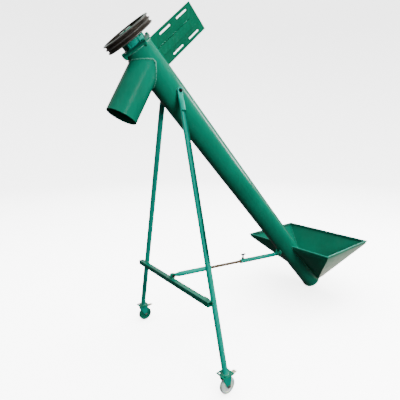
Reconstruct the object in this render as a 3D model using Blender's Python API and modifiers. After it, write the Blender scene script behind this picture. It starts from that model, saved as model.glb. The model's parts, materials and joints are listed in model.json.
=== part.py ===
"""Portable grain auger: inclined screw conveyor on a two-legged caster stand.

Metres, +Z up. +X points from the discharge end to the hopper end, and the object
stands on the bottom edge of the auger tube and on two casters.
"""

import math

import bmesh
import bpy
from mathutils import Matrix, Vector

# ---- driving dimensions -------------------------------------------------
GAP = 0.0003
TILT = math.radians(46.6)
TUBE_R = 0.084
TUBE_WALL = 0.004
TUBE_LENGTH = 2.51
CAP_R = 0.087
CAP_T = 0.006
FOOT_X = 0.8463
FOOT_Z = CAP_R * math.cos(TILT) + CAP_T * math.sin(TILT)

SHAFT_R = 0.0175
JOURNAL_R = 0.0125
DRIVE_R = 0.0165
FLIGHT_R = 0.074
FLIGHT_T = 0.004
FLIGHT_PITCH = 0.15
FLIGHT_TURNS = 15.25
FLIGHT_START = 0.045

SPOUT_Z = 2.427
SPOUT_LEAN = math.radians(17.4)
SPOUT_R = 0.083
SPOUT_WALL = 0.003
SPOUT_REACH = 0.347

FLANGE_HALF_DIAGONAL = 0.107
FLANGE_T = 0.008
FLANGE_BOLT_R = 0.0945
PLATE_T = 0.010
NECK_R = 0.061
NECK_TOP = TUBE_LENGTH + 0.051
BEARING_R = 0.036
BEARING_Z = TUBE_LENGTH + 0.026

PULLEY_R = 0.143
PULLEY_Z0 = TUBE_LENGTH + 0.054
PULLEY_Z1 = PULLEY_Z0 + 0.044
GROOVE_DEPTH = 0.008
GROOVE_PITCH = 0.019

MOTOR_PLATE_Z = 2.421
MOTOR_PLATE_HALF_W = 0.0845
MOTOR_PLATE_END = 0.455
MOTOR_PLATE_T = 0.006
SLOT_LENGTH = 0.095
SLOT_WIDTH = 0.009
SLOT_X = (0.209, 0.360)
SLOT_DZ = 0.0625
CHANNEL_W = 0.040
CHANNEL_D = 0.030
CHANNEL_END = 0.385

HOPPER_X0 = -0.4295
HOPPER_X1 = 0.2166
HOPPER_W = 0.4303
HOPPER_RIM_Z = 0.509
HOPPER_LIP = 0.010
HOPPER_BAND = 0.026
HOPPER_BOTTOM = (0.002, 0.042, 0.083, 0.088)
HOPPER_SHEET = 0.0025

PIVOT_S = 2.2214
PIVOT_Y = 0.0965
LEG_R = 0.0168
LEG_FLAT_T = 0.008
FOOT_LEG_X = -1.5405
FOOT_LEG_Y = 0.500
CASTER_H = 0.1285
BAR_Z = 0.515
BAR_SIZE = 0.030
BAR_WALL = 0.0025
BAR_OVERHANG = 0.030

STRUT_PIN_S = 0.628
STRUT_PIN_DROP = 0.030
STRUT_R = 0.0160
ROD_R = 0.0095
STRUT_EYE_SLOT = 0.007
STRUT_LOW_X = -1.560
STRUT_LOW_Z = 0.547
LOWER_TUBE = 0.290
EXPOSED_ROD = 0.316
ROD_INSIDE = 0.22
ROD_TRAVEL = 0.13
CLAMP_R = 0.0060

WHEEL_R = 0.048
WHEEL_W = 0.028
CASTER_TRAIL = 0.014
CASTER_PLATE = 0.074
AXLE_R = 0.005
PEDAL_LENGTH = 0.056
PEDAL_X = 0.030
PEDAL_Z = 0.103

# ---- working frames -----------------------------------------------------
FOOT = Vector((FOOT_X, 0.0, FOOT_Z))
TUBE_DIR = Vector((-math.cos(TILT), 0.0, math.sin(TILT)))
TUBE_OUT = Vector((math.sin(TILT), 0.0, math.cos(TILT)))
AUGER = Matrix.Translation(FOOT) @ Matrix.Rotation(TILT - math.pi / 2, 4, "Y")
LEG_PIVOT = FOOT + TUBE_DIR * PIVOT_S


# ---- scene helpers ------------------------------------------------------
def clear_scene():
    for obj in list(bpy.data.objects):
        bpy.data.objects.remove(obj, do_unlink=True)


def collection(name):
    group = bpy.data.collections.new(name)
    bpy.context.scene.collection.children.link(group)
    return group


clear_scene()
PARTS = collection("grain_auger")
CUTTERS = collection("cutters")


def material(name, colour, roughness, metallic):
    mat = bpy.data.materials.new(name)
    mat.use_nodes = True
    shader = mat.node_tree.nodes["Principled BSDF"]
    shader.inputs["Base Color"].default_value = (*colour, 1.0)
    shader.inputs["Roughness"].default_value = roughness
    shader.inputs["Metallic"].default_value = metallic
    return mat


GREEN = (0.0, 0.16, 0.09)
FINISHES = {
    "green": (GREEN, 0.35, 0.1),
    "iron": ((0.05, 0.045, 0.035), 0.45, 0.8),
    "steel": ((0.45, 0.45, 0.43), 0.35, 1.0),
    "dark_bolt": ((0.03, 0.03, 0.03), 0.4, 0.8),
    "rust": ((0.16, 0.10, 0.06), 0.7, 0.6),
    "wheel": ((0.75, 0.80, 0.74), 0.3, 0.0),
    "pedal": ((0.45, 0.40, 0.28), 0.4, 0.3),
}


def finish(obj, look, smooth=True):
    """Gives a part its own material and shades its round faces smooth."""
    obj.data.materials.clear()
    obj.data.materials.append(material(obj.name + "_paint", *FINISHES[look]))
    if smooth:
        obj.data.shade_smooth()
        obj.data.set_sharp_from_angle(angle=math.radians(35))
    return obj


def new_object(name, bm, frame):
    bmesh.ops.recalc_face_normals(bm, faces=bm.faces)
    mesh = bpy.data.meshes.new(name)
    bm.to_mesh(mesh)
    bm.free()
    obj = bpy.data.objects.new(name, mesh)
    obj.matrix_world = frame
    PARTS.objects.link(obj)
    return obj


def as_cutter(obj):
    for group in list(obj.users_collection):
        group.objects.unlink(obj)
    CUTTERS.objects.link(obj)
    obj.hide_render = True
    obj.display_type = "WIRE"
    return obj


def boolean(obj, cutter, operation="DIFFERENCE"):
    as_cutter(cutter)
    mod = obj.modifiers.new("bool", "BOOLEAN")
    mod.operation = operation
    mod.solver = "EXACT"
    mod.object = cutter
    return obj


def at(frame, x=0.0, y=0.0, z=0.0):
    return frame @ Matrix.Translation((x, y, z))


def turn(frame, axis, degrees):
    return frame @ Matrix.Rotation(math.radians(degrees), 4, axis)


# ---- shapes -------------------------------------------------------------
def box(name, size, frame):
    """A box centred on its frame."""
    bm = bmesh.new()
    bmesh.ops.create_cube(bm, size=1.0, matrix=Matrix.Diagonal((*size, 1.0)))
    return new_object(name, bm, frame)


def rods(name, radius, length, centres, frame, axis="Z", steps=16):
    """Round bars along one axis of the frame, in one mesh, for use as a cutter."""
    quarter = math.pi / 2
    lay = {
        "X": Matrix.Rotation(quarter, 4, "Y"),
        "Y": Matrix.Rotation(quarter, 4, "X"),
        "Z": Matrix(),
    }
    bm = bmesh.new()
    for centre in centres:
        bmesh.ops.create_cone(
            bm, cap_ends=True, segments=steps, radius1=radius, radius2=radius, depth=length,
            matrix=Matrix.Translation(centre) @ lay[axis],
        )
    return new_object(name, bm, frame)


def turned(name, profile, frame, steps=32):
    """A closed (radius, height) outline turned about the frame's Z axis."""
    bm = bmesh.new()
    verts = [bm.verts.new((r, 0.0, z)) for r, z in profile]
    on_axis = profile[0][0] == 0.0
    for first, second in zip(verts, verts[1:] if on_axis else verts[1:] + verts[:1]):
        bm.edges.new((first, second))
    mesh = bpy.data.meshes.new(name)
    bm.to_mesh(mesh)
    bm.free()
    obj = bpy.data.objects.new(name, mesh)
    obj.matrix_world = frame
    PARTS.objects.link(obj)
    screw = obj.modifiers.new("turn", "SCREW")
    screw.axis = "Z"
    screw.steps = steps
    screw.render_steps = steps
    screw.use_merge_vertices = True
    screw.merge_threshold = 0.00005
    screw.use_smooth_shade = True
    return obj


def ring(name, outer, inner, z0, z1, frame, steps=32):
    return turned(name, [(outer, z1), (outer, z0), (inner, z0), (inner, z1)], frame, steps)


def loft(name, rings, frame):
    """A closed skin through rings of equal point count, with flat ends."""
    bm = bmesh.new()
    loops = [[bm.verts.new(point) for point in points] for points in rings]
    count = len(loops[0])
    for lower, upper in zip(loops, loops[1:]):
        for i in range(count):
            j = (i + 1) % count
            bm.faces.new((lower[i], lower[j], upper[j], upper[i]))
    bm.faces.new(list(reversed(loops[0])))
    bm.faces.new(loops[-1])
    return new_object(name, bm, frame)


def hex_ring(across_flats, z):
    """Twelve points of a hexagon: its corners and the middles of its sides."""
    half = across_flats / 2
    points = []
    for i in range(12):
        reach = half if i % 2 == 0 else half / math.cos(math.pi / 6)
        angle = math.pi / 6 * i
        points.append((reach * math.cos(angle), reach * math.sin(angle), z))
    return points


def round_ring(radius, z):
    """Twelve points of a circle."""
    angles = [math.pi / 6 * i for i in range(12)]
    return [(radius * math.cos(angle), radius * math.sin(angle), z) for angle in angles]


def bolt(name, frame, shank_r, grip, head, head_h, nut_h=0.0, tip=0.0, look="steel"):
    """A hexagon bolt along the frame's Z, its head above Z = 0, with an optional nut below the grip."""
    rings = [hex_ring(head * 0.9, head_h), hex_ring(head, head_h * 0.85), hex_ring(head, 0.0)]
    rings += [round_ring(shank_r, 0.0), round_ring(shank_r, -grip)]
    if nut_h:
        rings += [hex_ring(head, -grip), hex_ring(head, -grip - nut_h)]
        rings += [round_ring(shank_r, -grip - nut_h), round_ring(shank_r, -grip - nut_h - tip)]
    return finish(loft(name, rings, frame), look)


def ellipse(centre, half_x, half_y, count=16, power=2.0):
    """A rounded outline in the horizontal plane through a point."""
    points = []
    for i in range(count):
        angle = 2 * math.pi * i / count
        c, s = math.cos(angle), math.sin(angle)
        x = math.copysign(abs(c) ** (2 / power), c) * half_x
        y = math.copysign(abs(s) ** (2 / power), s) * half_y
        points.append((centre[0] + x, centre[1] + y, centre[2]))
    return points


# ---- auger tube and its ends --------------------------------------------
def tube_cutter(name, extra=GAP, z0=-0.05, z1=TUBE_LENGTH + 0.05, steps=48):
    return rods(name, TUBE_R + extra, z1 - z0, [(0, 0, (z0 + z1) / 2)], AUGER, steps=steps)


def spout_frame():
    """Frame at the spout's root on the tube axis, its Z axis along the spout."""
    return at(AUGER, z=SPOUT_Z) @ Matrix.Rotation(-math.pi / 2 - SPOUT_LEAN, 4, "Y")


def auger_tube():
    tube = ring("auger_tube", TUBE_R, TUBE_R - TUBE_WALL, 0.0, TUBE_LENGTH, AUGER, 48)
    outlet = rods("outlet_cutter", 0.076, 0.14, [(0, 0, 0.07)], spout_frame(), steps=32)
    boolean(tube, outlet)
    intake = box("intake_cutter", (0.10, 0.14, 0.30), at(AUGER, x=0.085, z=0.20))
    boolean(tube, intake)
    finish(tube, "green")


def discharge_spout():
    spout = ring("discharge_spout", SPOUT_R, SPOUT_R - SPOUT_WALL, 0.0, SPOUT_REACH, spout_frame(), 48)
    boolean(spout, tube_cutter("spout_saddle_cutter"))
    finish(spout, "green")


def end_cap():
    hub = 0.030
    profile = [
        (CAP_R, -GAP), (CAP_R, -CAP_T), (0.0225, -CAP_T), (0.0225, 0.024), (hub, 0.024), (hub, -GAP),
    ]
    finish(turned("bottom_end_cap", profile, AUGER, 48), "green")
    bush = ring("bottom_bearing", 0.0222, JOURNAL_R + GAP, -CAP_T + 0.001, 0.0235, AUGER, 24)
    finish(bush, "steel")


def square_plate(name, z0, thickness, bore, frame):
    """A square plate standing on its corner, with a bore and a bolt hole in each corner."""
    side = FLANGE_HALF_DIAGONAL * math.sqrt(2)
    plate = box(name, (side, side, thickness), turn(at(frame, z=z0 + thickness / 2), "Z", 45))
    boolean(plate, rods(name + "_bore", bore, 0.05, [(0, 0, z0)], frame, steps=32))
    places = [(*point, z0) for point in flange_bolt_points()]
    boolean(plate, rods(name + "_holes", 0.0053, 0.05, places, frame, steps=12))
    return finish(plate, "green")


def flange_bolt_points():
    r = FLANGE_BOLT_R
    return [(r, 0.0), (0.0, r), (-r, 0.0), (0.0, -r)]


def top_end():
    z_flange = TUBE_LENGTH + GAP
    z_plate = z_flange + FLANGE_T + GAP
    square_plate("top_end_flange", z_flange, FLANGE_T, 0.072, AUGER)
    square_plate("bearing_plate", z_plate, PLATE_T, 0.045, AUGER)
    z_neck = z_plate + PLATE_T + GAP
    lip = BEARING_R - 0.006
    profile = [
        (NECK_R - 0.004, NECK_TOP), (NECK_R, NECK_TOP - 0.004),
        (NECK_R, z_neck), (BEARING_R + GAP, z_neck),
        (BEARING_R + GAP, BEARING_Z + 0.013), (lip, BEARING_Z + 0.013), (lip, NECK_TOP),
    ]
    neck = turned("top_bearing_housing", profile, AUGER, 40)
    for i in range(6):
        reach = (0.012, 0.007, NECK_TOP - z_neck - 0.008)
        place = at(turn(AUGER, "Z", 60 * i + 30), x=NECK_R, z=z_neck + reach[2] / 2 + 0.003)
        rib = box("housing_rib_cutter", reach, place)
        boolean(neck, rib, "UNION")
    finish(neck, "green")
    bearing_top = BEARING_Z + 0.0125
    bearing = ring("top_bearing", BEARING_R, DRIVE_R + GAP, bearing_top - 0.020, bearing_top, AUGER, 32)
    finish(bearing, "steel")
    grip = FLANGE_T + PLATE_T + 2 * GAP
    for i, (x, y) in enumerate(flange_bolt_points()):
        place = at(AUGER, x, y, z_plate + PLATE_T + GAP)
        beside_motor_plate = x > 0
        nut_h, tip = (0.0, 0.0) if beside_motor_plate else (0.008, 0.004)
        bolt("flange_bolt_%d" % (i + 1), place, 0.005, grip + GAP, 0.016, 0.0065, nut_h, tip)


# ---- screw --------------------------------------------------------------
def screw_shaft():
    top = PULLEY_Z1 - 0.004
    profile = [
        (0.0, top), (DRIVE_R - 0.002, top), (DRIVE_R, top - 0.002), (DRIVE_R, TUBE_LENGTH - 0.06),
        (SHAFT_R, TUBE_LENGTH - 0.062), (SHAFT_R, 0.027),
        (JOURNAL_R, 0.025), (JOURNAL_R, -0.004), (0.0, -0.004),
    ]
    shaft = turned("screw_shaft", profile, AUGER, 32)
    boolean(shaft, key_seat("shaft_keyway_cutter", GAP))
    finish(shaft, "steel")


def key_seat(name, extra):
    size = (0.0085 + 2 * extra, 0.010 + 2 * extra, 0.038 + 2 * extra)
    return box(name, size, at(AUGER, x=DRIVE_R + 0.0002, z=(PULLEY_Z0 + PULLEY_Z1) / 2))


def flighting():
    """The helical strip, its root just clear of the shaft."""
    steps = 16
    count = int(steps * FLIGHT_TURNS)
    rings = []
    for i in range(count + 1):
        angle = 2 * math.pi * i / steps
        z = FLIGHT_START + FLIGHT_PITCH * i / steps
        c, s = math.cos(angle), math.sin(angle)
        root, edge = SHAFT_R + 0.001, FLIGHT_R
        rings.append([
            (root * c, root * s, z), (edge * c, edge * s, z),
            (edge * c, edge * s, z + FLIGHT_T), (root * c, root * s, z + FLIGHT_T),
        ])
    finish(loft("screw_flighting", rings, AUGER), "steel")


def drive_pulley():
    mid = (PULLEY_Z0 + PULLEY_Z1) / 2
    outer = [(PULLEY_R - 0.0015, PULLEY_Z1), (PULLEY_R, PULLEY_Z1 - 0.0015)]
    for centre in (mid + GROOVE_PITCH / 2, mid - GROOVE_PITCH / 2):
        floor = PULLEY_R - GROOVE_DEPTH
        outer += [
            (PULLEY_R, centre + 0.0070), (floor, centre + 0.0044),
            (floor, centre - 0.0044), (PULLEY_R, centre - 0.0070),
        ]
    outer += [(PULLEY_R, PULLEY_Z0 + 0.0015), (PULLEY_R - 0.0015, PULLEY_Z0)]
    rim = PULLEY_R - 0.016
    bore = DRIVE_R + GAP
    inner = [
        (rim, PULLEY_Z0), (rim - 0.003, PULLEY_Z0 + 0.010),
        (0.042, PULLEY_Z0 + 0.010), (0.036, PULLEY_Z0 + 0.002),
        (bore, PULLEY_Z0 + 0.002), (bore, PULLEY_Z1 - 0.002), (0.036, PULLEY_Z1 - 0.002),
        (0.042, PULLEY_Z0 + 0.020), (rim - 0.003, PULLEY_Z0 + 0.020), (rim, PULLEY_Z1),
    ]
    pulley = turned("drive_pulley", outer + inner, AUGER, 40)
    boolean(pulley, key_seat("hub_keyway_cutter", GAP))
    finish(pulley, "iron")
    finish(key_seat("pulley_key", 0.0), "steel", smooth=False)


# ---- motor mount --------------------------------------------------------
def slot_cutter():
    """Four long slots with round ends, running away from the tube."""
    radius = SLOT_WIDTH / 2
    bm = bmesh.new()
    for x in SLOT_X:
        for side in (-1, 1):
            outline = []
            for i in range(12):
                angle = 2 * math.pi * (i + 0.5) / 12
                shift = math.copysign(SLOT_LENGTH / 2 - radius, math.cos(angle))
                along = x + shift + radius * math.cos(angle)
                outline.append((along, side * SLOT_DZ + radius * math.sin(angle)))
            low = [bm.verts.new((px, -0.02, pz)) for px, pz in outline]
            high = [bm.verts.new((px, 0.02, pz)) for px, pz in outline]
            for i in range(12):
                j = (i + 1) % 12
                bm.faces.new((low[i], high[i], high[j], low[j]))
            bm.faces.new(low)
            bm.faces.new(list(reversed(high)))
    return new_object("slot_cutter", bm, at(AUGER, z=MOTOR_PLATE_Z))


def motor_mount():
    start = TUBE_R + GAP
    length = MOTOR_PLATE_END - start
    centre = at(AUGER, x=start + length / 2, z=MOTOR_PLATE_Z)
    plate = box("motor_plate", (length, MOTOR_PLATE_T, 2 * MOTOR_PLATE_HALF_W), centre)
    boolean(plate, slot_cutter())
    finish(plate, "green", smooth=False)
    root = 0.070
    channel_length = CHANNEL_END - root
    y_mid = -MOTOR_PLATE_T / 2 - GAP - CHANNEL_D / 2
    place = at(AUGER, x=root + channel_length / 2, y=y_mid, z=MOTOR_PLATE_Z - 0.003)
    channel = box("motor_plate_channel", (channel_length, CHANNEL_D, CHANNEL_W), place)
    inside_size = (channel_length + 0.02, CHANNEL_D, CHANNEL_W - 0.006)
    inside = box("channel_cutter", inside_size, at(place, y=0.003))
    boolean(channel, inside)
    boolean(channel, tube_cutter("channel_saddle_cutter"))
    finish(channel, "green", smooth=False)


# ---- hopper -------------------------------------------------------------
def rectangle(bm, x0, x1, half_width, z):
    corners = ((x0, -half_width), (x1, -half_width), (x1, half_width), (x0, half_width))
    return [bm.verts.new((x, y, z)) for x, y in corners]


def hopper_bin():
    """Four sloping walls, an upright band and a folded lip, cut where the tube passes."""
    x0, x1, w = HOPPER_X0, HOPPER_X1, HOPPER_W
    inset = HOPPER_LIP
    bx0, bx1, bw, bz = HOPPER_BOTTOM
    bm = bmesh.new()
    loops = [
        rectangle(bm, x0, x1, w, HOPPER_RIM_Z - 0.009),
        rectangle(bm, x0, x1, w, HOPPER_RIM_Z),
        rectangle(bm, x0 + inset, x1 - inset, w - inset, HOPPER_RIM_Z),
        rectangle(bm, x0 + inset, x1 - inset, w - inset, HOPPER_RIM_Z - HOPPER_BAND),
        rectangle(bm, bx0, bx1, bw, bz),
    ]
    for upper, lower in zip(loops, loops[1:]):
        for i in range(4):
            j = (i + 1) % 4
            bm.faces.new((upper[i], upper[j], lower[j], lower[i]))
    bm.faces.new(loops[-1])
    bmesh.ops.recalc_face_normals(bm, faces=bm.faces)
    mesh = bpy.data.meshes.new("hopper")
    bm.to_mesh(mesh)
    bm.free()
    hopper = bpy.data.objects.new("hopper", mesh)
    hopper.location = (FOOT_X, 0.0, 0.0)
    PARTS.objects.link(hopper)
    shell = hopper.modifiers.new("sheet", "SOLIDIFY")
    shell.thickness = HOPPER_SHEET
    shell.offset = -1.0
    shell.use_even_offset = True
    clear = GAP + 0.0002
    profile = [
        (0.0, 0.95), (TUBE_R + clear, 0.95), (TUBE_R + clear, 0.002), (CAP_R + clear, 0.002),
        (CAP_R + clear, -0.12), (0.0, -0.12),
    ]
    boolean(hopper, turned("hopper_tube_cutter", profile, AUGER, 48))
    finish(hopper, "green", smooth=False)


# ---- leg stand ----------------------------------------------------------
def leg_point(side, z):
    """Centre line of a leg at height z."""
    share = (LEG_PIVOT.z - z) / (LEG_PIVOT.z - CASTER_H)
    x = LEG_PIVOT.x + share * (FOOT_X + FOOT_LEG_X - LEG_PIVOT.x)
    return Vector((x, side * (PIVOT_Y + share * (FOOT_LEG_Y - PIVOT_Y)), z))


def leg(name, side):
    """A round tube whose top end is flattened round the pivot bolt."""
    top = LEG_PIVOT.z
    flat = LEG_FLAT_T / 2
    bend = 0.016
    sections = [(0.019, 0.008, flat), (0.013, 0.0155, flat), (0.0, 0.018, flat), (-0.014, 0.0175, flat)]
    rings = []
    for rise, half_x, half_y in sections:
        rings.append(ellipse((LEG_PIVOT.x, side * PIVOT_Y, top + rise), half_x, half_y, power=3.0))
    for drop, half_x, half_y in ((0.032, 0.0165, 0.0055), (0.060, LEG_R, LEG_R), (0.075, LEG_R, LEG_R)):
        centre = leg_point(side, top - drop)
        centre.y = side * PIVOT_Y + (centre.y - side * PIVOT_Y) * (drop - bend) / drop
        rings.append(ellipse(centre, half_x, half_y))
    rings.append(ellipse(leg_point(side, CASTER_H + GAP), LEG_R, LEG_R))
    body = loft(name, rings, Matrix())
    hole = at(Matrix.Translation(LEG_PIVOT), y=side * PIVOT_Y)
    boolean(body, rods(name + "_hole", 0.0064, 0.06, [(0, 0, 0)], hole, axis="Y"))
    low, high = leg_point(side, CASTER_H - 0.02), leg_point(side, top - 0.11)
    rise = high - low
    bore = Matrix.Translation((low + high) / 2) @ rise.to_track_quat("Z", "Y").to_matrix().to_4x4()
    boolean(body, rods(name + "_bore", LEG_R - 0.0022, rise.length, [(0, 0, 0)], bore))
    finish(body, "green")


def leg_pivots():
    for name, side in (("front", -1), ("rear", 1)):
        frame = Matrix.Translation(LEG_PIVOT) @ Matrix.Rotation(side * -math.pi / 2, 4, "X")
        inner_face = PIVOT_Y - LEG_FLAT_T / 2
        boss = ring("leg_pivot_boss_" + name, 0.016, 0.0063, 0.070, inner_face - GAP, frame, 24)
        boolean(boss, tube_cutter("boss_saddle_cutter_" + name))
        finish(boss, "green")
        washer_face = PIVOT_Y + LEG_FLAT_T / 2 + GAP
        place = at(frame, z=washer_face)
        shank = washer_face - TUBE_R - GAP
        bolt("leg_pivot_bolt_" + name, place, 0.006, shank, 0.019, 0.008, look="dark_bolt")


def bar_face():
    """X of the cross bar's upright face, which lies against both legs."""
    return leg_point(1, BAR_Z).x - LEG_R - GAP


def gusset(name, side):
    """A triangle in the corner between a leg and the cross bar, on the legs' side of the bar."""
    size = 0.050
    clear_of_leg = LEG_R + 0.004
    foot = leg_point(side, BAR_Z)
    bm = bmesh.new()
    rings = []
    for x in (bar_face() + GAP, bar_face() + GAP + 0.004):
        outline = [(0.0, 0.0), (size, 0.0), (0.0, size)]
        rings.append([
            bm.verts.new((x, foot.y - side * (clear_of_leg + across), BAR_Z + BAR_SIZE / 2 - drop))
            for across, drop in outline
        ])
    bm.faces.new(rings[0])
    bm.faces.new(list(reversed(rings[1])))
    for i in range(3):
        j = (i + 1) % 3
        bm.faces.new((rings[0][i], rings[0][j], rings[1][j], rings[1][i]))
    finish(new_object(name, bm, Matrix()), "green", smooth=False)


def cross_bar():
    """Square tube, open at both ends, on the outer side of both legs."""
    y0 = leg_point(-1, BAR_Z).y - 0.006
    y1 = leg_point(1, BAR_Z).y + BAR_OVERHANG
    length = y1 - y0
    frame = Matrix.Translation((bar_face() - BAR_SIZE / 2, (y0 + y1) / 2, BAR_Z))
    bar = box("cross_bar", (BAR_SIZE, length, BAR_SIZE), frame)
    inside = BAR_SIZE - 2 * BAR_WALL
    boolean(bar, box("bar_cutter", (inside, length + 0.02, inside), frame))
    finish(bar, "green", smooth=False)
    gusset("bar_gusset_front", -1)
    gusset("bar_gusset_rear", 1)


# ---- telescopic strut ---------------------------------------------------
def strut_low():
    return Vector((FOOT_X + STRUT_LOW_X, 0.0, STRUT_LOW_Z))


def strut_high():
    return FOOT + TUBE_DIR * STRUT_PIN_S - TUBE_OUT * (TUBE_R + STRUT_PIN_DROP)


def strut_frame():
    """Frame at the lower pin: Z along the strut, X up from it."""
    along = (strut_high() - strut_low()).normalized()
    side = Vector((0, -1, 0))
    up = side.cross(along)
    frame = Matrix((up, side, along)).transposed().to_4x4()
    return Matrix.Translation(strut_low()) @ frame


def strut_length():
    return (strut_high() - strut_low()).length


def flat_end(z0, direction, half_width):
    """Rings of a flattened tube end, from the eye to the round tube."""
    flat = 0.0035
    rings = []
    shape = (
        (-0.017, 0.35, flat), (-0.012, 0.85, flat), (0.0, 1.0, flat),
        (0.016, 1.0, flat), (0.030, 0.9, 0.006),
    )
    for z, share, half_y in shape:
        rings.append(ellipse((0, 0, z0 + direction * z), half_width * share, half_y, power=3.0))
    rings.append(ellipse((0, 0, z0 + direction * 0.050), STRUT_R, STRUT_R))
    return rings


def strut():
    frame = strut_frame()
    total = strut_length()
    rings = flat_end(0.0, 1, 0.013) + [ellipse((0, 0, LOWER_TUBE), STRUT_R, STRUT_R)]
    lower = loft("strut_lower_tube", rings, frame)
    boolean(lower, rods("lower_eye_cutter", 0.0054, 0.05, [(0, 0, 0)], frame, axis="Y"))
    seat = LOWER_TUBE - 0.10
    boolean(lower, rods("lower_bore_cutter", ROD_R + GAP, 0.2, [(0, 0, seat + 0.1)], frame))
    finish(lower, "green")
    mouth = LOWER_TUBE + EXPOSED_ROD
    rod_end = mouth + ROD_INSIDE
    rod = rods("strut_rod", ROD_R, rod_end - seat - 0.002, [(0, 0, (seat + 0.002 + rod_end) / 2)], frame)
    finish(rod, "rust")
    rings = [ellipse((0, 0, mouth), STRUT_R, STRUT_R)] + list(reversed(flat_end(total, -1, 0.016)))
    upper = loft("strut_upper_tube", rings, frame)
    bore_end = rod_end + ROD_TRAVEL
    bore_mid = [(0, 0, (mouth - 0.02 + bore_end) / 2)]
    boolean(upper, rods("upper_bore_cutter", ROD_R + 0.0012, bore_end - mouth + 0.02, bore_mid, frame))
    slot_place = at(frame, x=-STRUT_EYE_SLOT / 2, z=total)
    boolean(upper, box("upper_eye_cutter", (0.011 + STRUT_EYE_SLOT, 0.05, 0.0125), slot_place))
    clamp_z = mouth + 0.024
    hole_r = CLAMP_R + 0.0005
    hole_at = [(STRUT_R + 0.004, 0, clamp_z)]
    boolean(upper, rods("clamp_side_cutter", hole_r, 0.03, hole_at, frame, axis="X"))
    finish(upper, "green")
    nut_frame = at(frame, z=clamp_z) @ Matrix.Rotation(math.pi / 2, 4, "Y")
    nut_ends = (STRUT_R + GAP, STRUT_R + 0.010)
    nut = loft("clamp_nut", [hex_ring(0.020, z) for z in nut_ends], nut_frame)
    boolean(nut, rods("clamp_nut_cutter", hole_r, 0.05, [(0, 0, STRUT_R)], nut_frame, steps=12))
    finish(nut, "steel", smooth=False)
    clamp_screw(nut_frame)


def clamp_screw(frame):
    """Threaded stud with a cross bar handle, pressing on the rod."""
    tip = ROD_R + GAP
    top = 0.054
    stud = rods("clamp_screw", CLAMP_R, top - tip, [(0, 0, (tip + top) / 2)], frame, steps=12)
    handle = rods("handle_cutter", 0.0062, 0.034, [(0, 0, top - 0.0015)], frame, axis="X", steps=12)
    boolean(stud, handle, "UNION")
    finish(stud, "dark_bolt")


def strut_brackets():
    low = strut_low()
    bar_top = BAR_Z + BAR_SIZE / 2 + GAP
    height = low.z + 0.012 - bar_top
    for name, side in (("a", -1), ("b", 1)):
        centre = Vector((low.x, side * 0.0085, bar_top + height / 2))
        ear = box("strut_lug_" + name, (0.026, 0.005, height), Matrix.Translation(centre))
        hole = Matrix.Translation(low)
        boolean(ear, rods("lug_hole_cutter_" + name, 0.0053, 0.06, [(0, 0, 0)], hole, axis="Y"))
        finish(ear, "green", smooth=False)
    head = Matrix.Translation(low + Vector((0, -0.0113, 0))) @ Matrix.Rotation(math.pi / 2, 4, "X")
    bolt("strut_lug_bolt", head, 0.005, 0.0226, 0.016, 0.0065, 0.008, 0.003, look="dark_bolt")
    high = strut_high()
    place = at(AUGER, x=-(TUBE_R - 0.006), z=STRUT_PIN_S)
    depth = STRUT_PIN_DROP + 0.006 + 0.016
    bracket = box("strut_bracket", (depth, 0.034, 0.044), at(place, x=-depth / 2))
    boolean(bracket, box("bracket_slot_cutter", (depth, 0.0236, 0.06), at(place, x=-depth / 2 - 0.010)))
    boolean(bracket, tube_cutter("bracket_saddle_cutter"))
    pin_place = Matrix.Translation(high)
    boolean(bracket, rods("bracket_hole_cutter", 0.0053, 0.06, [(0, 0, 0)], pin_place, axis="Y"))
    finish(bracket, "green", smooth=False)
    head = Matrix.Translation(high + Vector((0, -0.0173, 0))) @ Matrix.Rotation(math.pi / 2, 4, "X")
    bolt("strut_bracket_pin", head, 0.005, 0.0346, 0.016, 0.0065, 0.008, 0.003, look="dark_bolt")


# ---- casters ------------------------------------------------------------
def caster(name, side):
    foot = Matrix.Translation((FOOT_X + FOOT_LEG_X, side * FOOT_LEG_Y, 0.0))
    plate_t = 0.003
    top = CASTER_H - plate_t / 2
    plate = box("caster_plate_" + name, (CASTER_PLATE, CASTER_PLATE, plate_t), at(foot, z=top))
    corner = CASTER_PLATE / 2 - 0.014
    holes = [(x, y, top) for x in (-corner, corner) for y in (-corner, corner)]
    boolean(plate, rods("plate_hole_cutter_" + name, 0.0045, 0.02, holes, foot, steps=12))
    finish(plate, "green", smooth=False)
    race_top = CASTER_H - plate_t - GAP
    race = ring("swivel_race_" + name, 0.027, 0.010, race_top - 0.010, race_top, foot, 32)
    finish(race, "green")
    fork(name, foot, race_top - 0.010 - GAP)
    wheel_frame = turn(at(foot, x=CASTER_TRAIL, z=WHEEL_R), "X", 90)
    half = WHEEL_W / 2
    tread = [
        (WHEEL_R - 0.004, half), (WHEEL_R - 0.0012, half - 0.0028),
        (WHEEL_R, half - 0.008), (WHEEL_R, -half + 0.008),
        (WHEEL_R - 0.0012, -half + 0.0028), (WHEEL_R - 0.004, -half), (WHEEL_R - 0.014, -half),
        (WHEEL_R - 0.016, -half + 0.006), (0.013, -half + 0.006), (0.011, -half + 0.0005),
        (AXLE_R + GAP, -half + 0.0005), (AXLE_R + GAP, half - 0.0005), (0.011, half - 0.0005),
        (0.013, half - 0.006), (WHEEL_R - 0.016, half - 0.006), (WHEEL_R - 0.014, half),
    ]
    finish(turned("caster_wheel_" + name, tread, wheel_frame, 24), "wheel")
    cheek = half + 0.0015 + 0.0025 + GAP
    bolt("caster_axle_" + name, at(wheel_frame, z=cheek), AXLE_R, 2 * cheek, 0.014, 0.005, 0.006, 0.003)
    brake_pedal(name, foot)


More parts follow.
